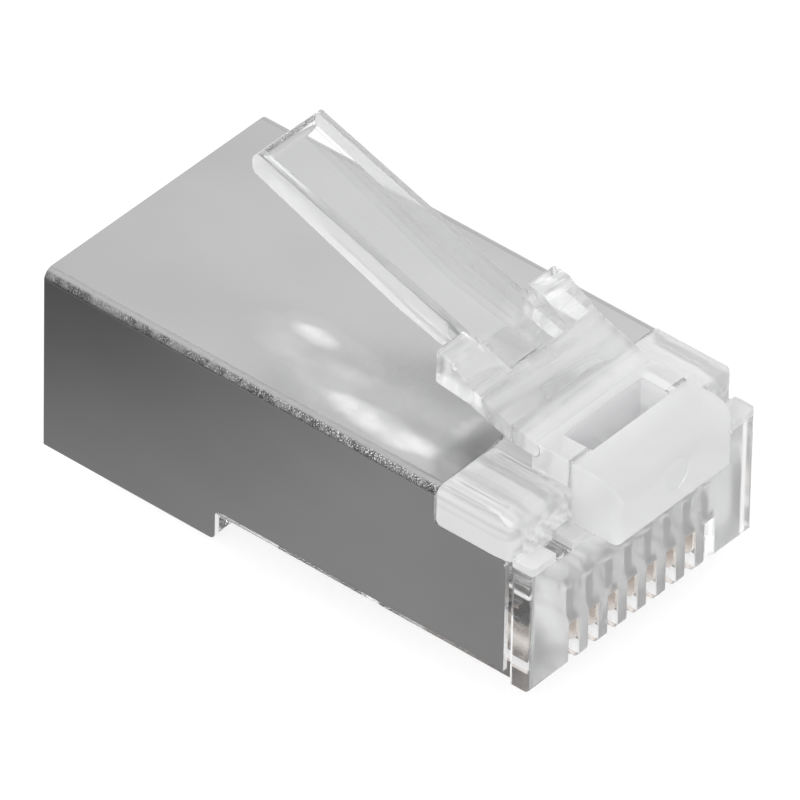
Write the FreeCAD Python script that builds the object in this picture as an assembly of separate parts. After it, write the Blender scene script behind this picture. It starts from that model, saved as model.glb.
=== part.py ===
import FreeCAD, Part
import math
import os

# Shielded 8P8C (RJ45) modular plug, before it is crimped to a cable.
# Frame: X runs across the plug, +Y runs from the comb face to the cable end, +Z is the latch side.
# The origin is on the comb face, on the centre plane, level with the comb's underside.
# All sizes are in millimetres.

# Whole plug
plug_width = 11.68
plug_height = 6.7            # comb underside to the top of the shield
plug_length = 21.9           # comb face to the cable end
underside_step = 14.1        # comb face to the step in the underside
rear_drop = 0.92             # cable end's underside, below the comb's

# Contacts
contact_count = 8
contact_pitch = 1.02
blade_thickness = 0.34
blade_front = 0.4            # comb face to the blade's front edge
blade_length = 5.3
blade_lift = 0.25            # mating edge, above the comb's underside
blade_clearance = 0.05       # blade to the end and roof of its slot
blade_corner = 0.45
prong_width = 0.7
prong_spacing = 2.3
prong_reach = 0.9            # how far a prong stands above the blade's back
prong_setback = 0.25         # blade's front edge to its first prong

# Slots and wire channels in the nose
slot_width = 0.56
slot_roof = 2.1
slot_lip_drop = 0.25         # the roof comes down this much to its lip at the comb face
slot_lip_length = 0.25
guide_clearance = 0.03       # each side of a prong in its guide
channel_diameter = 0.94
channel_height = 3.45
channel_front_wall = 0.5
channel_length = 8.4

# Nose
shelf_height = 5.42
comb_corner = 0.15
comb_under_radius = 0.3
block_setback = 0.88
block_crease = 1.75          # comb face to the crease from which the block's front tapers
block_drop = 0.15            # height that the top loses from the crease to the front
block_taper = 0.08           # width that each side loses from the crease to the front
block_front_radius = 0.5
block_corner = 0.5
block_edge = 0.3
notch_offset = 4.22
notch_width = 0.84
notch_depth = 0.42

# Latch root, the bull nose in front of the latch
root_width = 6.0
root_overhang = 1.42         # how far the bull nose stands out in front of the comb face
root_height = 7.95
root_front_radius = 1.0
root_under_radius = 0.25
root_corner = 0.4
pocket_width = 4.1
pocket_length = 1.28
pocket_depth = 1.9
pocket_land = 0.2            # web left between the pocket and the hinge line
gate_diameter = 1.2
gate_depth = 0.08
gate_height = 6.8

# Latch
hinge_setback = 2.5          # comb face to the line about which the latch bends
hinge_thickness = 0.6
hinge_clearance = 0.05
tail_angle = 20.8            # slope of the tail's underside, behind its bend
crest_angle = 18.4           # slope of the ribs' tops
latch_width = 6.2            # over the shoulders
tail_width = 3.4
tail_end = 16.35
tail_thickness = 0.38
tail_bend_setback = 9.5      # bend in the tail's underside, from the comb face and up from the shoulders
tail_bend_rise = 0.75
tail_blend = 6.0
wing_thickness = 0.72
wing_knee_setback = 3.6      # underside's two bends, from the comb face and up from the hinge
wing_knee_rise = 0.26
wing_bend_setback = 5.2
wing_bend_rise = 0.8
wing_rise = 1.0              # the wings climb this much from the hinge to the shoulders
wing_blend = 1.5
shoulder_setback = 6.8
shoulder_height = 1.32
shoulder_length = 0.7
shoulder_slope = 0.1
shoulder_ramp_foot = 4.8     # comb face to the foot of the ramp up to the shoulders
shoulder_corner = 0.2
shoulder_edge = 0.12
rib_height = 1.1             # at the shoulders
rib_width = 0.35
rib_edge = 0.2               # rounding along the outside of the ribs' tops
channel_front = 4.4          # comb face to the front of the space between the ribs
channel_front_slope = 0.9
tail_rim = 0.35
tail_corner = 0.35
tail_edge = 0.4

# Folded shield
sheet = 0.2
shield_gap = 0.03
cheek_gap = 0.3              # back of the nose to the shield's front edges
bend_radius = 0.4            # outside of the bends
shield_top_front = 4.3
shield_side_front = 4.39
shield_cheek_front = 1.2
shield_cheek_top = 5.1
shield_cheek_bottom = 0.38
cheek_corner = 0.4
notch_corner = 0.2
step_corner = 0.25
top_notch_width = 4.3
top_notch_depth = 0.18
top_notch_slope = 1.2
strap_length = 2.75
strap_seam = 1.2

# Cable cavity
mouth_width = 9.5
mouth_floor = -0.1
mouth_roof = 5.65
cavity_corner = 1.2
throat_setback = 12.0
throat_width = 9.2
throat_floor = 0.55
throat_roof = 5.5
throat_corner = 0.9
funnel_floor = 2.99
funnel_roof = 3.91
funnel_corner = 0.4

# Strain relief bar in the underside
relief_width = 6.8
relief_length = 3.1
relief_setback = 0.85        # underside step to the window
relief_gap = 0.15
relief_web = 0.3
relief_web_length = 0.5
relief_bar_height = 1.05
relief_nose = 1.0

# Sizes that follow from the ones above
V = FreeCAD.Vector
half_width = plug_width / 2
core_half = half_width - sheet - shield_gap
core_top = plug_height - sheet - shield_gap
block_back = shield_top_front - shield_gap
cheek_back = shield_cheek_front - cheek_gap
blade_top = slot_roof - blade_clearance
slot_length = blade_front + blade_length + blade_clearance
funnel_width = contact_pitch * (contact_count - 1) + channel_diameter
funnel_setback = channel_front_wall + channel_length
hinge_height = root_height - hinge_thickness / 2
tail_slope = math.tan(math.radians(tail_angle))
crest_slope = math.tan(math.radians(crest_angle))
shoulder_under = root_height - hinge_thickness + wing_rise
tail_bend_height = shoulder_under + tail_bend_rise
past = 1.0                   # how far a cutting shape runs past what it cuts


def corner_arc(before, corner, after, radius):
    """Ends and middle of the arc that rounds one corner of an outline."""
    back = (before - corner).normalize()
    ahead = (after - corner).normalize()
    half_angle = back.getAngle(ahead) / 2
    reach = radius / math.tan(half_angle)
    inward = (back + ahead).normalize()
    middle = corner + inward * (radius / math.sin(half_angle) - radius)
    return corner + back * reach, middle, corner + ahead * reach


def outline(corners, place):
    """Closed face through (u, v) corners; a third value rounds that corner."""
    points = [place(corner[0], corner[1]) for corner in corners]
    radii = [corner[2] if len(corner) > 2 else 0 for corner in corners]
    edges = []
    starts = []
    ends = []
    for index, point in enumerate(points):
        if not radii[index]:
            starts.append(point)
            ends.append(point)
            continue
        before = points[index - 1]
        after = points[(index + 1) % len(points)]
        start, middle, end = corner_arc(before, point, after, radii[index])
        edges.append(Part.Arc(start, middle, end).toShape())
        starts.append(start)
        ends.append(end)
    for index in range(len(points)):
        following = (index + 1) % len(points)
        edges.append(Part.makeLine(ends[index], starts[following]))
    return Part.Face(Part.Wire(Part.__sortEdges__(edges)))


def across(corners, width):
    """Solid with a (y, z) outline, centred across the plug."""
    face = outline(corners, lambda y, z: V(-width / 2, y, z))
    return face.extrude(V(width, 0, 0))


def upright(corners, low, high):
    """Solid with an (x, y) outline between two heights."""
    face = outline(corners, lambda x, y: V(x, y, low))
    return face.extrude(V(0, 0, high - low))


def along(corners, front, back):
    """Solid with an (x, z) outline from one place to another along the plug."""
    face = outline(corners, lambda x, z: V(x, front, z))
    return face.extrude(V(0, back - front, 0))


def box(width, front, back, low, high, middle=0):
    """Upright box, centred across the plug at middle."""
    return Part.makeBox(width, back - front, high - low, V(middle - width / 2, front, low))


def contact_places():
    """Distance of each contact from the centre plane."""
    first = -contact_pitch * (contact_count - 1) / 2
    return [first + contact_pitch * index for index in range(contact_count)]


def rounded_frame(width, low, high, radius, place):
    """Rounded rectangular wire across the plug, for a loft."""
    half = width / 2
    corners = [(-half, low, radius), (half, low, radius), (half, high, radius), (-half, high, radius)]
    return outline(corners, lambda x, z: V(x, place, z)).OuterWire


def nose():
    """Full-width comb block that stands in front of the shield's sides."""
    side = across(
        [(0, 0, comb_under_radius), (cheek_back, 0), (cheek_back, shelf_height), (0, shelf_height)],
        plug_width,
    )
    plan = upright(
        [
            (-half_width, 0, comb_corner),
            (half_width, 0, comb_corner),
            (half_width, cheek_back),
            (-half_width, cheek_back),
        ],
        -past,
        shelf_height + past,
    )
    return side.common(plan)


def shoulder_block():
    """Full-width block behind the shelf, level with the top of the shield."""
    low = shield_cheek_top + shield_gap
    front_half = half_width - block_taper
    side = across(
        [
            (block_setback, low),
            (block_back, low, notch_corner),
            (block_back, plug_height),
            (block_crease, plug_height),
            (block_setback, plug_height - block_drop, block_front_radius),
        ],
        plug_width,
    )
    plan = upright(
        [
            (-front_half, block_setback, block_corner),
            (front_half, block_setback, block_corner),
            (half_width, block_crease),
            (half_width, block_back),
            (-half_width, block_back),
            (-half_width, block_crease),
        ],
        low - past,
        plug_height + past,
    )
    section = along(
        [
            (-half_width, low - past),
            (half_width, low - past),
            (half_width, plug_height, block_edge),
            (-half_width, plug_height, block_edge),
        ],
        block_setback - past,
        block_back + past,
    )
    return side.common(plan).common(section)


def core():
    """Body inside the shield, with its step down at the cable end."""
    side = across(
        [
            (block_setback, 0),
            (underside_step, 0),
            (underside_step, -rear_drop, step_corner),
            (plug_length, -rear_drop),
            (plug_length, core_top),
            (block_back, core_top),
            (block_back, shelf_height),
            (block_setback, shelf_height),
        ],
        2 * core_half,
    )
    inner_radius = bend_radius - sheet
    section = along(
        [
            (-core_half, -rear_drop, inner_radius),
            (core_half, -rear_drop, inner_radius),
            (core_half, core_top, inner_radius),
            (-core_half, core_top, inner_radius),
        ],
        0,
        plug_length,
    )
    return side.common(section)


def latch_root():
    """Bull nose that overhangs the comb and carries the latch."""
    low = shelf_height - root_under_radius
    side = across(
        [
            (-root_overhang, shelf_height, root_under_radius),
            (-root_overhang, root_height, root_front_radius),
            (hinge_setback, root_height),
            (hinge_setback, low),
            (block_setback, low),
            (block_setback, shelf_height),
        ],
        root_width,
    )
    half = root_width / 2
    plan = upright(
        [
            (-half, -root_overhang, root_corner),
            (half, -root_overhang, root_corner),
            (half, hinge_setback),
            (-half, hinge_setback),
        ],
        low - past,
        root_height + past,
    )
    return side.common(plan)


def root_cuts():
    """Pocket behind the bull nose, gate mark, and the groove in which the latch turns."""
    pocket_back = hinge_setback - hinge_thickness / 2 - hinge_clearance - pocket_land
    pocket = box(
        pocket_width,
        pocket_back - pocket_length,
        pocket_back,
        root_height - pocket_depth,
        root_height + past,
    )
    gate = Part.makeCylinder(
        gate_diameter / 2,
        past + gate_depth,
        V(0, -root_overhang - past, gate_height),
        V(0, 1, 0),
    )
    groove = Part.makeCylinder(
        hinge_thickness / 2 + hinge_clearance,
        root_width + 2 * past,
        V(-root_width / 2 - past, hinge_setback, hinge_height),
        V(1, 0, 0),
    )
    return [pocket, gate, groove]


def shelf_notches():
    """Small moulded notches in the shelf, one on each side of the bull nose."""
    low = shelf_height - notch_depth
    return [
        box(notch_width, -past, block_setback, low, shelf_height + past, middle)
        for middle in (-notch_offset, notch_offset)
    ]


def contact_slot(middle):
    """Open slot, prong guide and round-ended wire channel for one contact."""
    radius = channel_diameter / 2
    lip = slot_roof - slot_lip_drop
    profile = outline(
        [
            (-past, -past),
            (slot_length, -past),
            (slot_length, slot_roof),
            (slot_lip_length, slot_roof),
            (0, lip),
            (-past, lip),
        ],
        lambda y, z: V(middle - slot_width / 2, y, z),
    )
    slot = profile.extrude(V(slot_width, 0, 0))
    guide_width = blade_thickness + 2 * guide_clearance
    guide_front = blade_front + prong_setback - guide_clearance
    guide_back = guide_front + prong_spacing + prong_width + 2 * guide_clearance
    guide = box(guide_width, guide_front, guide_back, blade_top, channel_height, middle)
    end = channel_front_wall + radius
    channel = Part.makeCylinder(radius, channel_length, V(middle, end, channel_height), V(0, 1, 0))
    dome = Part.makeSphere(radius, V(middle, end, channel_height))
    return [slot, guide, channel, dome]


def cable_cavity():
    """Tapered cavity for the cable's jacket and the funnel that leads into the channels."""
    mouth = rounded_frame(mouth_width, mouth_floor, mouth_roof, cavity_corner, plug_length + past)
    throat = rounded_frame(throat_width, throat_floor, throat_roof, throat_corner, throat_setback)
    neck = rounded_frame(funnel_width, funnel_floor, funnel_roof, funnel_corner, funnel_setback)
    jacket = Part.makeLoft([mouth, throat], True, True)
    funnel = Part.makeLoft([throat, neck], True, True)
    return [jacket, funnel]


def relief_window():
    """Window in the underside, in front of the strap."""
    front = underside_step + relief_setback
    return box(relief_width, front, front + relief_length, -rear_drop - past, throat_floor)


def relief_bar():
    """Strain relief bar, joined to the front of its window by a thin web."""
    front = underside_step + relief_setback
    bar_front = front + relief_web_length
    back = front + relief_length - relief_gap
    low = -rear_drop
    high = low + relief_bar_height
    web_low = high - relief_nose / 2 - relief_web
    web = box(relief_width - 2 * relief_gap, front - relief_gap, bar_front + relief_gap, web_low,
              web_low + relief_web)
    bar = across(
        [(bar_front, low), (back, low), (back, high), (back - relief_nose, high), (bar_front, web_low)],
        relief_width - 2 * relief_gap,
    )
    return web.fuse(bar)


def housing():
    """Clear moulded body: nose, shoulder block, core and latch root in one piece."""
    body = core().multiFuse([nose(), shoulder_block(), latch_root()])
    cuts = root_cuts() + shelf_notches() + cable_cavity() + [relief_window()]
    for middle in contact_places():
        cuts += contact_slot(middle)
    for cut in cuts:
        body = body.cut(cut)
    return body.fuse(relief_bar()).removeSplitter()


def tail_underside(place):
    """Height of the straight rear part of the tail's underside at a distance from the comb face."""
    return tail_bend_height + (place - tail_bend_setback) * tail_slope


def crest(place):
    """Height of the ribs' tops at a distance from the comb face."""
    return shoulder_under + rib_height + (place - shoulder_setback) * crest_slope


def latch_wings():
    """Wide front part of the latch, with the locking shoulders at its back."""
    low = root_height - hinge_thickness
    knee = low + wing_knee_rise
    bend = low + wing_bend_rise
    steepness = (wing_bend_rise - wing_knee_rise) / (wing_bend_setback - wing_knee_setback)
    under_foot = knee + steepness * (shoulder_ramp_foot - wing_knee_setback)
    shoulder_top = shoulder_under + shoulder_height
    return across(
        [
            (hinge_setback, low),
            (wing_knee_setback, knee, wing_blend),
            (wing_bend_setback, bend, wing_blend),
            (shoulder_setback, shoulder_under),
            (shoulder_setback, shoulder_top, shoulder_edge),
            (shoulder_setback - shoulder_length, shoulder_top - shoulder_slope, shoulder_corner),
            (shoulder_ramp_foot, under_foot + wing_thickness, shoulder_corner),
            (wing_knee_setback, knee + wing_thickness, wing_blend),
            (hinge_setback, root_height),
        ],
        latch_width,
    )


def latch_tail():
    """Sloping tail as deep as its ribs; the ribs' tops are rounded along their outer edges."""
    inside = shoulder_ramp_foot
    low_end = tail_underside(tail_end)
    lean = math.sin(math.radians(tail_angle))
    rise = math.cos(math.radians(tail_angle))
    end_depth = (crest(tail_end) - low_end) / (rise + crest_slope * lean)
    side = across(
        [
            (inside, shoulder_under),
            (shoulder_setback, shoulder_under),
            (tail_bend_setback, tail_bend_height, tail_blend),
            (tail_end, low_end, tail_edge),
            (tail_end - lean * end_depth, low_end + rise * end_depth, tail_edge),
            (inside, crest(inside)),
        ],
        tail_width,
    )
    half = tail_width / 2
    section = outline(
        [
            (-half, crest(inside) - tail_end),
            (half, crest(inside) - tail_end),
            (half, crest(inside), rib_edge),
            (-half, crest(inside), rib_edge),
        ],
        lambda x, z: V(x, inside, z),
    )
    length = tail_end - inside
    return side.common(section.extrude(V(0, length, length * crest_slope)))


def shoulder_gap():
    """Space above the ribs, between the two locking shoulders."""
    top = shoulder_under + shoulder_height + past
    back = shoulder_setback + past
    return across(
        [
            (shoulder_ramp_foot, crest(shoulder_ramp_foot)),
            (back, crest(back)),
            (back, top),
            (shoulder_ramp_foot, top),
        ],
        tail_width,
    )


def latch_channel():
    """Space between the ribs, down to the tail's floor."""
    rise = tail_thickness / math.cos(math.radians(tail_angle))
    back = tail_end - tail_rim
    foot = channel_front + channel_front_slope
    top = shoulder_under + shoulder_height + past
    bend = tail_bend_height + rise
    bend_slope = tail_bend_rise / (tail_bend_setback - shoulder_setback)
    foot_floor = shoulder_under + tail_thickness + (foot - shoulder_setback) * bend_slope
    return across(
        [
            (channel_front, top),
            (channel_front, foot_floor + channel_front_slope),
            (foot, foot_floor, shoulder_corner),
            (tail_bend_setback, bend, tail_blend),
            (back, tail_underside(back) + rise, shoulder_edge),
            (back - shoulder_edge, tail_underside(back) + rise + past),
            (shoulder_setback, top),
        ],
        tail_width - 2 * rib_width,
    )


def latch_plan():
    """Outline of the latch from above."""
    half = latch_width / 2
    root_half = root_width / 2
    tail_half = tail_width / 2
    front = hinge_setback - hinge_thickness
    return upright(
        [
            (-root_half, front),
            (root_half, front),
            (root_half, hinge_setback),
            (half, hinge_setback + past),
            (half, shoulder_setback, shoulder_corner),
            (tail_half, shoulder_setback, shoulder_corner),
            (tail_half, tail_end, tail_corner),
            (-tail_half, tail_end, tail_corner),
            (-tail_half, shoulder_setback, shoulder_corner),
            (-half, shoulder_setback, shoulder_corner),
            (-half, hinge_setback + past),
            (-root_half, hinge_setback),
        ],
        0,
        crest(tail_end) + past,
    )


def latch():
    """Latch lever; its round front edge turns in the groove of the latch root."""
    knuckle = Part.makeCylinder(
        hinge_thickness / 2,
        root_width,
        V(-root_width / 2, hinge_setback, hinge_height),
        V(1, 0, 0),
    )
    lever = latch_wings().cut(shoulder_gap())
    lever = lever.fuse(latch_tail()).cut(latch_channel())
    return lever.fuse(knuckle).common(latch_plan()).removeSplitter()


def shield_sides():
    """Outline of the folded sheet from the side, front edges and underside step included."""
    return across(
        [
            (shield_top_front, plug_height),
            (shield_side_front, plug_height - bend_radius),
            (shield_side_front, shield_cheek_top, notch_corner),
            (shield_cheek_front, shield_cheek_top, cheek_corner),
            (shield_cheek_front, shield_cheek_bottom),
            (underside_step, shield_cheek_bottom, step_corner),
            (underside_step, -rear_drop, step_corner),
            (plug_length, -rear_drop),
            (plug_length, plug_height),
        ],
        plug_width,
    )


def open_section():
    """Sheet bent down on both sides."""
    outer = half_width
    inner = half_width - sheet
    inner_radius = bend_radius - sheet
    low = -rear_drop - past
    return along(
        [
            (-outer, low),
            (-outer, plug_height, bend_radius),
            (outer, plug_height, bend_radius),
            (outer, low),
            (inner, low),
            (inner, plug_height - sheet, inner_radius),
            (-inner, plug_height - sheet, inner_radius),
            (-inner, low),
        ],
        0,
        plug_length,
    )


def strap():
    """Rear of the sheet, folded under the body to a seam on the centre line."""
    outer = half_width
    inner = half_width - sheet
    inner_radius = bend_radius - sheet
    strap_top = -rear_drop - shield_gap
    strap_bottom = strap_top - sheet
    seam = strap_seam / 2
    return along(
        [
            (seam, strap_bottom),
            (outer, strap_bottom, bend_radius),
            (outer, plug_height, bend_radius),
            (-outer, plug_height, bend_radius),
            (-outer, strap_bottom, bend_radius),
            (-seam, strap_bottom),
            (-seam, strap_top),
            (-inner, strap_top, inner_radius),
            (-inner, plug_height - sheet, inner_radius),
            (inner, plug_height - sheet, inner_radius),
            (inner, strap_top, inner_radius),
            (seam, strap_top),
        ],
        plug_length - strap_length,
        plug_length,
    )


def top_notch():
    """Shallow notch in the front edge of the top plate, under the latch."""
    front = shield_top_front
    wide = top_notch_width / 2 + top_notch_slope
    narrow = top_notch_width / 2
    return upright(
        [
            (-wide, front - past),
            (wide, front - past),
            (wide, front),
            (narrow, front + top_notch_depth),
            (-narrow, front + top_notch_depth),
            (-wide, front),
        ],
        plug_height - sheet - shield_gap,
        plug_height + past,
    )


def shield():
    """One folded sheet: top plate, two sides and the strap under the cable end."""
    sheet_metal = open_section().common(shield_sides())
    sheet_metal = sheet_metal.fuse(strap())
    return sheet_metal.cut(top_notch()).removeSplitter()


def contact(middle):
    """Contact blade with two piercing prongs."""
    back = blade_front + blade_length
    first = blade_front + prong_setback
    second = first + prong_spacing
    tip = blade_top + prong_reach
    flank = prong_width / 2
    face = outline(
        [
            (blade_front, blade_lift, blade_corner),
            (back, blade_lift, blade_corner),
            (back, blade_top),
            (second + prong_width, blade_top),
            (second + prong_width, tip - flank),
            (second + flank, tip),
            (second, tip - flank),
            (second, blade_top),
            (first + prong_width, blade_top),
            (first + prong_width, tip - flank),
            (first + flank, tip),
            (first, tip - flank),
            (first, blade_top),
            (blade_front, blade_top),
        ],
        lambda y, z: V(middle - blade_thickness / 2, y, z),
    )
    return face.extrude(V(blade_thickness, 0, 0))


os.makedirs("parts", exist_ok=True)
nodes = {"housing": housing(), "latch": latch(), "shield": shield()}
for number, place in enumerate(contact_places(), start=1):
    nodes[f"contact_{number}"] = contact(place)
for name, shape in nodes.items():
    shape.exportStep(f"parts/{name}.step")
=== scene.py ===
import math

import bpy
from mathutils import Matrix, Vector

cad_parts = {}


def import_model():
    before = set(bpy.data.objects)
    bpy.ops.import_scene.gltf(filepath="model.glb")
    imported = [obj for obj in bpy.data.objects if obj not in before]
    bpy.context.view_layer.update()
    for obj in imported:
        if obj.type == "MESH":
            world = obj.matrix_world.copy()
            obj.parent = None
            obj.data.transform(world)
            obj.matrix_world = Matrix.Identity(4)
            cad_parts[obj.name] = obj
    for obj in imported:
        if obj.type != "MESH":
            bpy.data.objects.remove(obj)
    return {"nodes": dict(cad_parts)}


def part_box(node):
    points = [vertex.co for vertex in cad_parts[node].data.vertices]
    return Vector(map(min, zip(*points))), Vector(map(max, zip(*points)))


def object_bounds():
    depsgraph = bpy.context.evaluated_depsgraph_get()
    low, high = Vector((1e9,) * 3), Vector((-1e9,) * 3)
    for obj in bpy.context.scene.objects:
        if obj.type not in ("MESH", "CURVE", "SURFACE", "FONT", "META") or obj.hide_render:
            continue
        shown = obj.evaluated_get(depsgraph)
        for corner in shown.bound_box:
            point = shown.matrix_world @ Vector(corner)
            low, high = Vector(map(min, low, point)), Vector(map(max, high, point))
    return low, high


# Looks for a shielded modular plug: clear moulded body and latch, folded plated sheet, gold blades.
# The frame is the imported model's: +X across, +Y to the cable end, +Z to the latch side.

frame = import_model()
cad_low, cad_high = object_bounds()
nodes = frame["nodes"]

MM = 0.001

# Camera: degrees, metres, and the lens in millimetres
view_azimuth = -50.1
view_elevation = 38.95
view_roll = 1.1
view_distance = 0.631
view_lens = 832.5
sensor_width = 36
aim_point = Vector((-0.0923, 10.774, 3.526)) * MM

# Light: positions and sizes in metres, powers in watts
world_strength = 0.86
key_place = (-0.16, -0.08, 0.12)
key_size = 0.1
key_power = 0.12
fill_place = (0.15, 0.05, 0.12)
fill_size = 0.15
fill_power = 0.02

# Floor, and a grey card that paints a darker reflection into the near side plate as painted shade: sizes in
# metres
floor_half = 0.4
floor_tone = 0.8
floor_glow = 0.8
floor_shading = 0.3
card_reach = 0.05
card_lift = 0.02 * MM
card_strength = (0.435, 0.145)    # nearest the comb, and furthest behind and aside
card_fade_back = (12, 26)         # y over which it fades, in millimetres
card_fade_aside = (-5, -12.6)     # x over which it fades, in millimetres
card_fade_start = 0.4             # how far it has faded at the first x

# Light paths: clear walls lie behind one another, so light crosses many of them
clear_bounces = 48
diffuse_bounces = 24
glossy_bounces = 12

# Plastic: its colour, and how much of each region's surface is milky white; that share is partly real
# clouding and partly painted light, set to brighten regions of the clear plastic
plastic_tint = (0.985, 0.988, 0.99, 1)
plastic_ior = 1.58
polish = 0.03
matt_roughness = 0.4
comb_face_matt = 0.5              # how matt the comb face is, where the bull nose is 1
milk_tint = (0.97, 0.97, 0.975, 1)
milk_through = 0.15
clear_haze = 0.03
block_haze = 0.6
block_streaks = (0.8, 1.2)        # least and most of that haze, in streaks along y
inside_haze = 0.08
pocket_haze = 0.8
root_haze = 0.65
face_haze = 0.32
bull_nose_haze = 0.68
latch_haze = 0.01
rib_haze = 0.3
rib_haze_start = 0.3              # share of it at the first y of rib_clouding
rail_haze = 0.5
flow_haze = 0.42
flow_least = 0.5                  # share of it where the flow lines are faintest
hinge_haze = 0.65
wing_haze = 0.25

# Edges of the housing's regions: where the mask is 0 and where it is 1, in millimetres
shelf_rise = (5.05, 5.12)
bull_nose_back = (0.9, 0.6)
comb_face_back = (0.12, 0.02)
inside_aside = (5.3, 5.2)
inside_front = (0.2, 0.3)
inside_floor = (0.15, 0.25)
inside_roof = (5.35, 5.25)
pocket_aside = (2.2, 2.1)
pocket_front = (0.65, 0.7)
pocket_back = (2.1, 2.05)
pocket_rim = (7.93, 7.9)
root_front = (0.85, 0.95)
root_foot = (6.75, 6.85)
block_back = (4.5, 4.3)
block_top = (6.9, 6.8)

# Edges of the latch's regions, in the same way
rib_wall_near = (1.33, 1.34)
rib_wall_far = (1.37, 1.36)
rib_clouding = (6, 10)
rail_aside = (1.64, 1.66)
rail_front = (7.2, 7.6)
hinge_back = (3.3, 2.6)
wing_back = (5.0, 4.2)
shoulder_aside = (0.2, 0.8)
shoulder_back = (7.0, 6.4)

# Sheet: tones, and the depths under its outer faces at which each region starts and is full
sheet_tone = 0.49
# The inner tone is painted light: the same plating as the outer faces, made near white so that the plastic
# inside renders brighter
lit_inner_tone = 0.95
cut_edge_tone = 0.9
cloud_tones = (0.97, 1.03)
top_dimming = 0.95
sheet_roughness = (0.2, 0.27)
bend_roughening = 0.12
skin_depth = (0.15, 0.1)
top_depth = (0.02, 0.01)
bend_depth = (0.42, 0.3)
flaked_top = (0.05, 0.12)
flaked_foot = (0.4, 0.32)
flaked_tone = 0.12
# The brightness of the flakes is painted glints: bright specks in the colour, brighter towards the front
glint_fade = (19, 5)              # y over which the flakes get brighter
glint_shine = (0.35, 0.95)        # how bright they are at those two
flake_patches = 0.5               # least share of the band that is flaked
cut_edge_facing = (-0.7, -0.8)    # y of the normal on the front cut edges

# Painted reflections on the top plate, soft patches of brighter metal colour: centre, half size and how much
# brighter, in millimetres
painted_reflections = (
    ((-4.5, 7.7), (0.8, 3.0), 0.36),
    ((-4.0, 8.0), (2.2, 4.8), 0.1),
    ((-2.4, 12.6), (0.5, 1.3), 0.3),
    ((-2.8, 12.0), (1.6, 3.2), 0.08),
    ((-2.6, 5.0), (1.4, 1.1), 0.22),
)

# Most values of a noise lie between these two
noise_span = (0.3, 0.7)

# Contacts: the nickel is painted nearly black, as painted shade in the slots above the gold
shaded_nickel = (0.1, 0.1, 0.1, 1)
gold_plating = (0.95, 0.88, 0.83, 1)
gold_border = (2.0, 1.7)          # z over which the nickel turns to gold, in millimetres
border_waver = (-0.25, 0.25)      # how far that border strays, in millimetres
contact_roughness = (0.2, 0.32)

# Heights of the finest grain, in metres
moulded_grain = 0.004 * MM
rolled_height = 0.002 * MM
sheet_grain = 0.001 * MM
crackle_height = 0.06 * MM
blade_grain = 0.004 * MM


def make_material(name):
    """Empty node material, its node tree and its output."""
    material = bpy.data.materials.new(name)
    material.use_nodes = True
    tree = material.node_tree
    tree.nodes.clear()
    return material, tree, tree.nodes.new("ShaderNodeOutputMaterial")


def node(tree, kind, inputs=None, **settings):
    """Adds a shader node; inputs maps a socket to a value or to another node's output."""
    made = tree.nodes.new(kind)
    for key, value in settings.items():
        setattr(made, key, value)
    for key, value in (inputs or {}).items():
        if isinstance(value, bpy.types.NodeSocket):
            tree.links.new(value, made.inputs[key])
        else:
            made.inputs[key].default_value = value
    return made


def math_node(tree, operation, first, second=0.0):
    """Result of one sum on two values or sockets."""
    return node(tree, "ShaderNodeMath", {0: first, 1: second}, operation=operation).outputs[0]


def times(tree, first, second):
    """Product of two values."""
    return math_node(tree, "MULTIPLY", first, second)


def map_range(tree, value, low, high, from_value, to_value, kind):
    """A value's step from one limit to another."""
    inputs = {"Value": value, "From Min": low, "From Max": high, "To Min": from_value, "To Max": to_value}
    return node(tree, "ShaderNodeMapRange", inputs, interpolation_type=kind).outputs["Result"]


def ramp(tree, value, low, high, from_value=0.0, to_value=1.0):
    """Smooth step of a value between two limits."""
    return map_range(tree, value, low, high, from_value, to_value, "SMOOTHSTEP")


def slope(tree, value, low, high, from_value=0.0, to_value=1.0):
    """Straight step of a value between two limits."""
    return map_range(tree, value, low, high, from_value, to_value, "LINEAR")


def grey(tree, value):
    """A value as a grey colour."""
    return node(tree, "ShaderNodeCombineColor", {0: value, 1: value, 2: value}).outputs[0]


def least(tree, values):
    """Lowest of several values."""
    result = values[0]
    for value in values[1:]:
        result = math_node(tree, "MINIMUM", result, value)
    return result


def haze_and_painted_light(tree, ground, regions):
    """Milky share of a surface, partly real clouding and partly painted light: the ground's, or that of the
    cloudiest region at the point.
    """
    share = ground
    for mask, haze in regions:
        share = math_node(tree, "MAXIMUM", share, times(tree, mask, haze))
    return share


def place(tree):
    """The point's place in millimetres, as a vector."""
    coordinates = node(tree, "ShaderNodeTexCoord").outputs["Object"]
    return node(tree, "ShaderNodeVectorMath", {0: coordinates, 3: 1 / MM}, operation="SCALE").outputs[0]


def axes(tree, vector):
    """X, Y and Z of a vector."""
    return node(tree, "ShaderNodeSeparateXYZ", {0: vector}).outputs


def noise(tree, vector, scale, detail=2.0, roughness=0.5, stretch=(1, 1, 1)):
    """Noise with scale in waves a millimetre; a low number in stretch draws it out along that axis."""
    stretched = node(tree, "ShaderNodeVectorMath", {0: vector, 1: stretch}, operation="MULTIPLY")
    inputs = {"Vector": stretched.outputs[0], "Scale": scale, "Detail": detail, "Roughness": roughness}
    return node(tree, "ShaderNodeTexNoise", inputs).outputs["Fac"]


def bump(tree, height, distance, strength=1.0, normal=None):
    """Bump of a height field; distance in metres."""
    inputs = {"Height": height, "Distance": distance, "Strength": strength}
    if normal is not None:
        inputs["Normal"] = normal
    return node(tree, "ShaderNodeBump", inputs).outputs[0]


def seen_rays(tree):
    """1 for rays straight from the camera, through clear plastic or off metal, and 0 for the others."""
    rays = node(tree, "ShaderNodeLightPath").outputs
    seen = math_node(tree, "MAXIMUM", rays["Is Camera Ray"], rays["Is Transmission Ray"])
    return math_node(tree, "MAXIMUM", seen, rays["Is Glossy Ray"])


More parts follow.
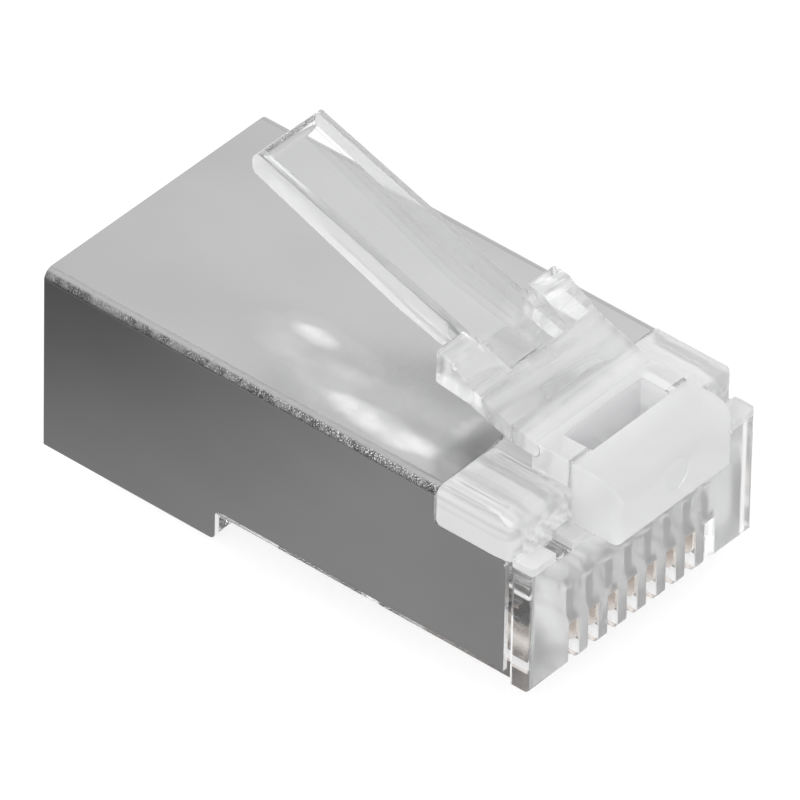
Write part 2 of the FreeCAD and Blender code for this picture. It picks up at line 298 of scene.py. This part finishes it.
def link_plastic(tree, output, share, roughness, normal=None):
    """Plastic of which a share of the surface is cloudy and the rest is clear."""
    inputs = {
        "Base Color": plastic_tint,
        "Transmission Weight": 1.0,
        "IOR": plastic_ior,
        "Roughness": roughness,
    }
    if normal is not None:
        inputs["Normal"] = normal
    clear = node(tree, "ShaderNodeBsdfPrincipled", inputs)
    through = node(tree, "ShaderNodeBsdfTranslucent", {"Color": milk_tint})
    veil = node(tree, "ShaderNodeBsdfDiffuse", {"Color": milk_tint})
    milk = node(tree, "ShaderNodeMixShader", {0: milk_through, 1: veil.outputs[0], 2: through.outputs[0]})
    mixed = node(tree, "ShaderNodeMixShader", {0: share, 1: clear.outputs[0], 2: milk.outputs[0]})
    tree.links.new(mixed.outputs[0], output.inputs["Surface"])


def link_metal(tree, output, colour, roughness, normal):
    """Bare metal."""
    inputs = {"Base Color": colour, "Metallic": 1.0, "Roughness": roughness, "Normal": normal}
    surface = node(tree, "ShaderNodeBsdfPrincipled", inputs)
    tree.links.new(surface.outputs[0], output.inputs["Surface"])


def clear_plastic():
    """Clear moulded plastic: smooth glossy skin, matt comb face and bull nose, and a block and root made
    milky white, partly as painted light.
    """
    material, tree, output = make_material("clear_plastic")
    vector = place(tree)
    x, y, z = axes(tree, vector)
    aside = math_node(tree, "ABSOLUTE", x)
    above_shelf = ramp(tree, z, *shelf_rise)
    bull_nose = times(tree, ramp(tree, y, *bull_nose_back), above_shelf)
    comb_face = ramp(tree, y, *comb_face_back)
    inside = least(tree, [
        ramp(tree, aside, *inside_aside),
        ramp(tree, y, *inside_front),
        ramp(tree, z, *inside_floor),
        ramp(tree, z, *inside_roof),
    ])
    pocket = least(tree, [
        ramp(tree, aside, *pocket_aside),
        ramp(tree, y, *pocket_front),
        ramp(tree, y, *pocket_back),
        ramp(tree, z, *pocket_rim),
        above_shelf,
    ])
    root = least(tree, [ramp(tree, y, *root_front), ramp(tree, z, *root_foot)])
    block = least(tree, [above_shelf, ramp(tree, y, *block_back), ramp(tree, z, *block_top)])
    streaks = noise(tree, vector, scale=1.8, detail=1, stretch=(1, 0.02, 1))
    block = times(tree, block, ramp(tree, streaks, 0.4, 0.6, *block_streaks))
    # Milky white shares, partly painted light that brightens these regions
    share = haze_and_painted_light(tree, clear_haze, (
        (block, block_haze),
        (inside, inside_haze),
        (pocket, pocket_haze),
        (root, root_haze),
        (comb_face, face_haze),
        (bull_nose, bull_nose_haze),
    ))
    matt = math_node(tree, "MAXIMUM", times(tree, comb_face, comb_face_matt), bull_nose)
    roughness = ramp(tree, matt, 0, 1, polish, matt_roughness)
    grain = noise(tree, vector, scale=14)
    normal = bump(tree, times(tree, grain, matt), moulded_grain)
    link_plastic(tree, output, share, roughness, normal)
    return material


def latch_plastic():
    """The same plastic on the latch, made milky at its hinge, its shoulders and the sides of its ribs, partly
    as painted light.
    """
    material, tree, output = make_material("latch_plastic")
    vector = place(tree)
    split = axes(tree, vector)
    aside = math_node(tree, "ABSOLUTE", split["X"])
    y = split["Y"]
    ribs = least(tree, [
        slope(tree, aside, *rib_wall_near),
        slope(tree, aside, *rib_wall_far),
        ramp(tree, y, *rib_clouding, from_value=rib_haze_start),
    ])
    rails = least(tree, [ramp(tree, aside, *rail_aside), ramp(tree, y, *rail_front)])
    hinge = ramp(tree, y, *hinge_back)
    wing = ramp(tree, y, *wing_back)
    shoulders = least(tree, [ramp(tree, aside, *shoulder_aside), ramp(tree, y, *shoulder_back)])
    flow = noise(tree, vector, scale=2.2, detail=0, stretch=(0.15, 1, 0.3))
    flow = ramp(tree, flow, 0.35, 0.65, from_value=flow_least)
    flow = least(tree, [flow, math_node(tree, "MAXIMUM", shoulders, wing)])
    # Milky white shares, partly painted light that brightens these regions
    share = haze_and_painted_light(tree, latch_haze, (
        (ribs, rib_haze),
        (rails, rail_haze),
        (flow, flow_haze),
        (hinge, hinge_haze),
        (wing, wing_haze),
    ))
    link_plastic(tree, output, share, polish)
    return material


def with_painted_reflections(tree, tone, vector, x, y, on_top_face):
    """A tone with the painted reflections of the top plate added, as soft patches of brighter colour."""
    reflection_breakup = ramp(tree, noise(tree, vector, scale=0.8, detail=3, roughness=0.55), *noise_span, from_value=0.6)
    ragged = noise(tree, vector, scale=1.1, stretch=(1, 0.4, 1))
    ragged = slope(tree, ragged, *noise_span, from_value=-0.2, to_value=0.25)
    for centre, reach, shine in painted_reflections:
        off_x = times(tree, math_node(tree, "SUBTRACT", x, centre[0]), 1 / reach[0])
        off_y = times(tree, math_node(tree, "SUBTRACT", y, centre[1]), 1 / reach[1])
        square_x = math_node(tree, "POWER", off_x, 2)
        square_y = math_node(tree, "POWER", off_y, 2)
        squares = math_node(tree, "ADD", math_node(tree, "ADD", square_x, square_y), ragged)
        reflection_patch = least(tree, [ramp(tree, squares, 1, 0), on_top_face])
        tone = math_node(tree, "ADD", tone, times(tree, times(tree, reflection_patch, reflection_breakup), shine))
    return tone


def flaked_over(tree, tone, vector, y, on_side, from_top):
    """A tone with the flaked plating on the long bends laid over it, and painted glints as bright specks that
    grow brighter towards the front.
    """
    patches = noise(tree, vector, scale=1.2, roughness=0.6)
    patches = ramp(tree, patches, 0.35, 0.6, from_value=flake_patches)
    band = least(tree, [on_side, ramp(tree, from_top, *flaked_top), ramp(tree, from_top, *flaked_foot)])
    flaked = times(tree, band, patches)
    glint_brightness = ramp(tree, y, *glint_fade, *glint_shine)
    # Painted glints: sparse bright specks in the band's colour
    glint_specks = ramp(tree, noise(tree, vector, scale=19, detail=3, roughness=0.7), 0.52, 0.6)
    band_and_glints = math_node(tree, "ADD", times(tree, glint_specks, glint_brightness), flaked_tone)
    kept = times(tree, tone, slope(tree, flaked, 0, 1, from_value=1, to_value=0))
    return math_node(tree, "ADD", kept, times(tree, band_and_glints, flaked))


def plated_sheet():
    """Nickel-plated sheet: rolled grain, painted reflections as soft bright patches on the top plate, painted
    light on the inner faces, and flaked plating with painted glints on the long bends.
    """
    material, tree, output = make_material("plated_sheet")
    vector = place(tree)
    x, y, z = axes(tree, vector)
    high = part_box("shield")[1]
    from_side = math_node(tree, "SUBTRACT", high.x / MM, math_node(tree, "ABSOLUTE", x))
    from_top = math_node(tree, "SUBTRACT", high.z / MM, z)
    on_side = ramp(tree, from_side, *bend_depth)
    on_top = ramp(tree, from_top, *bend_depth)
    bend = times(tree, on_side, on_top)
    on_top_face = ramp(tree, from_top, *top_depth)

    side_skin = ramp(tree, from_side, *skin_depth)
    outer_skin = math_node(tree, "MAXIMUM", side_skin, ramp(tree, from_top, *skin_depth))
    # Faces away from the outer side and top get the near-white tone, painted light on the same plating
    tone = slope(tree, outer_skin, 0, 1, lit_inner_tone, sheet_tone)
    clouds = noise(tree, vector, scale=0.25, stretch=(1, 0.5, 1))
    tone = times(tree, tone, slope(tree, clouds, 0.35, 0.65, *cloud_tones))
    tone = times(tree, tone, slope(tree, from_top, *top_depth, from_value=1, to_value=top_dimming))
    # Painted reflections: soft bright patches added to the top plate's colour
    tone = with_painted_reflections(tree, tone, vector, x, y, on_top_face)
    facing = node(tree, "ShaderNodeTexCoord").outputs["Normal"]
    cut_edge = slope(tree, axes(tree, facing)["Y"], *cut_edge_facing)
    tone = math_node(tree, "MAXIMUM", tone, times(tree, cut_edge, cut_edge_tone))
    tone = flaked_over(tree, tone, vector, y, on_side, from_top)

    roughness = ramp(tree, noise(tree, vector, scale=0.18), *noise_span, *sheet_roughness)
    roughness = math_node(tree, "ADD", roughness, times(tree, bend, bend_roughening))
    rolled = noise(tree, vector, scale=6, detail=3, roughness=0.6, stretch=(1, 0.06, 1))
    grain = noise(tree, vector, scale=12, roughness=0.6)
    crackle = noise(tree, vector, scale=9, detail=4, roughness=0.75)
    normal = bump(tree, rolled, rolled_height, strength=0.25)
    normal = bump(tree, grain, sheet_grain, strength=0.2, normal=normal)
    normal = bump(tree, times(tree, crackle, bend), crackle_height, normal=normal)
    link_metal(tree, output, grey(tree, tone), roughness, normal)
    return material


def gold_contact():
    """Copper alloy blade plated with nickel, and with gold along its mating edge; the nickel part is painted
    nearly black as painted shade.
    """
    material, tree, output = make_material("gold_contact")
    vector = place(tree)
    z = axes(tree, vector)["Z"]
    worn = noise(tree, vector, scale=1.5, detail=3, roughness=0.6)
    grain = noise(tree, vector, scale=20, roughness=0.6, stretch=(1, 0.1, 1))
    border = math_node(tree, "ADD", z, slope(tree, worn, *noise_span, *border_waver))
    gilded = ramp(tree, border, *gold_border)
    mix = node(tree, "ShaderNodeMix", {"Factor": gilded}, data_type="RGBA")
    first_colour, second_colour = mix.inputs[6], mix.inputs[7]
    # Nickel painted nearly black: painted shade
    first_colour.default_value = shaded_nickel
    second_colour.default_value = gold_plating
    roughness = ramp(tree, worn, *noise_span, *contact_roughness)
    normal = bump(tree, grain, blade_grain, strength=0.5)
    link_metal(tree, output, mix.outputs[2], roughness, normal)
    return material


def dress(piece, material):
    """Gives a piece one material in place of all it has."""
    piece.data.materials.clear()
    piece.data.materials.append(material)


def flat_piece(name, left, right, front, back, lift, material):
    """Flat rectangle that lies a little above the part's lowest point."""
    mesh = bpy.data.meshes.new(name)
    corners = [(left, front, 0), (right, front, 0), (right, back, 0), (left, back, 0)]
    mesh.from_pydata(corners, [], [(0, 1, 2, 3)])
    mesh.materials.append(material)
    made = bpy.data.objects.new(name, mesh)
    made.location = (0, 0, cad_low.z + lift)
    bpy.context.scene.collection.objects.link(made)
    return made


def floor_material():
    """Pale floor: near white for the rays that are seen, and a plain pale surface for all others."""
    material, tree, output = make_material("floor")
    plain = node(tree, "ShaderNodeBsdfDiffuse", {"Color": (floor_tone, floor_tone, floor_tone, 1)})
    glow = node(tree, "ShaderNodeEmission", {"Color": (1, 1, 1, 1), "Strength": floor_glow})
    shading = (floor_shading, floor_shading, floor_shading, 1)
    faint = node(tree, "ShaderNodeBsdfDiffuse", {"Color": shading})
    bright = node(tree, "ShaderNodeAddShader", {0: faint.outputs[0], 1: glow.outputs[0]})
    mixed = node(tree, "ShaderNodeMixShader", {0: seen_rays(tree), 1: plain.outputs[0], 2: bright.outputs[0]})
    tree.links.new(mixed.outputs[0], output.inputs["Surface"])
    return material


def floor():
    """Plain floor under the part."""
    flat_piece("floor", -floor_half, floor_half, -floor_half, floor_half, 0, floor_material())


def painted_reflection_material():
    """Grey glow, a painted reflection that darkens the near side plate; it fades to the back and to the side,
    and clear plastic doesn't show it.
    """
    material, tree, output = make_material("painted_reflection_card")
    split = axes(tree, place(tree))
    back = slope(tree, split["Y"], *card_fade_back)
    aside = slope(tree, split["X"], *card_fade_aside, from_value=card_fade_start)
    strength = slope(tree, times(tree, back, aside), 0, 1, *card_strength)
    glow = node(tree, "ShaderNodeEmission", {"Color": (1, 1, 1, 1), "Strength": strength})
    clear = node(tree, "ShaderNodeBsdfTransparent")
    through_plastic = node(tree, "ShaderNodeLightPath").outputs["Is Transmission Ray"]
    surface = node(tree, "ShaderNodeMixShader", {0: through_plastic, 1: glow.outputs[0], 2: clear.outputs[0]})
    tree.links.new(surface.outputs[0], output.inputs["Surface"])
    return material


def card():
    """Grey card on the floor beside the part, seen only in the metal's reflections: a painted reflection that
    darkens the near side plate as painted shade.
    """
    side = cad_low.x
    material = painted_reflection_material()
    made = flat_piece("painted_reflection_card", side - card_reach, side, -card_reach, card_reach, card_lift, material)
    made.visible_camera = False
    made.visible_diffuse = False
    made.visible_transmission = False
    made.visible_shadow = False


def world():
    """White surroundings: full white for the rays that are seen, and a little less for all others."""
    made = bpy.data.worlds.new("studio")
    made.use_nodes = True
    tree = made.node_tree
    tree.nodes.clear()
    strength = ramp(tree, seen_rays(tree), 0, 1, world_strength, 1.0)
    background = node(tree, "ShaderNodeBackground", {"Color": (1, 1, 1, 1), "Strength": strength})
    node(tree, "ShaderNodeOutputWorld", {"Surface": background.outputs[0]})
    bpy.context.scene.world = made


def lamp(name, position, size, power):
    """Square soft lamp aimed at the part."""
    data = bpy.data.lights.new(name, "AREA")
    data.energy = power
    data.size = size
    made = bpy.data.objects.new(name, data)
    made.location = position
    made.rotation_mode = "QUATERNION"
    made.rotation_quaternion = (Vector(position) - aim_point).to_track_quat("Z", "Y")
    bpy.context.scene.collection.objects.link(made)


def camera():
    """Long lens from above, in front and to one side."""
    azimuth = math.radians(view_azimuth)
    elevation = math.radians(view_elevation)
    back = Vector((
        math.sin(azimuth) * math.cos(elevation),
        -math.cos(azimuth) * math.cos(elevation),
        math.sin(elevation),
    ))
    right = Vector((math.cos(azimuth), math.sin(azimuth), 0))
    right = Matrix.Rotation(math.radians(view_roll), 3, back) @ right
    up = back.cross(right)
    data = bpy.data.cameras.new("camera")
    data.lens = view_lens
    data.sensor_width = sensor_width
    data.clip_start = 0.01
    data.clip_end = 10
    made = bpy.data.objects.new("camera", data)
    rotation = Matrix((right, up, back)).transposed()
    made.matrix_world = Matrix.Translation(aim_point + back * view_distance) @ rotation.to_4x4()
    bpy.context.scene.collection.objects.link(made)
    bpy.context.scene.camera = made


def light_paths():
    """Enough bounces for light to cross the clear walls, and a plain view of the result."""
    cycles = bpy.context.scene.cycles
    cycles.max_bounces = clear_bounces
    cycles.transmission_bounces = clear_bounces
    cycles.diffuse_bounces = diffuse_bounces
    cycles.glossy_bounces = glossy_bounces
    bpy.context.scene.view_settings.view_transform = "Standard"


body_material = clear_plastic()
lever_material = latch_plastic()
sheet_material = plated_sheet()
blade_material = gold_contact()
for name, piece in nodes.items():
    if name.startswith("contact"):
        dress(piece, blade_material)
    elif name == "shield":
        dress(piece, sheet_material)
    elif name == "latch":
        dress(piece, lever_material)
    else:
        dress(piece, body_material)

floor()
card()
world()
lamp("key_lamp", key_place, key_size, key_power)
lamp("fill_lamp", fill_place, fill_size, fill_power)
camera()
light_paths()
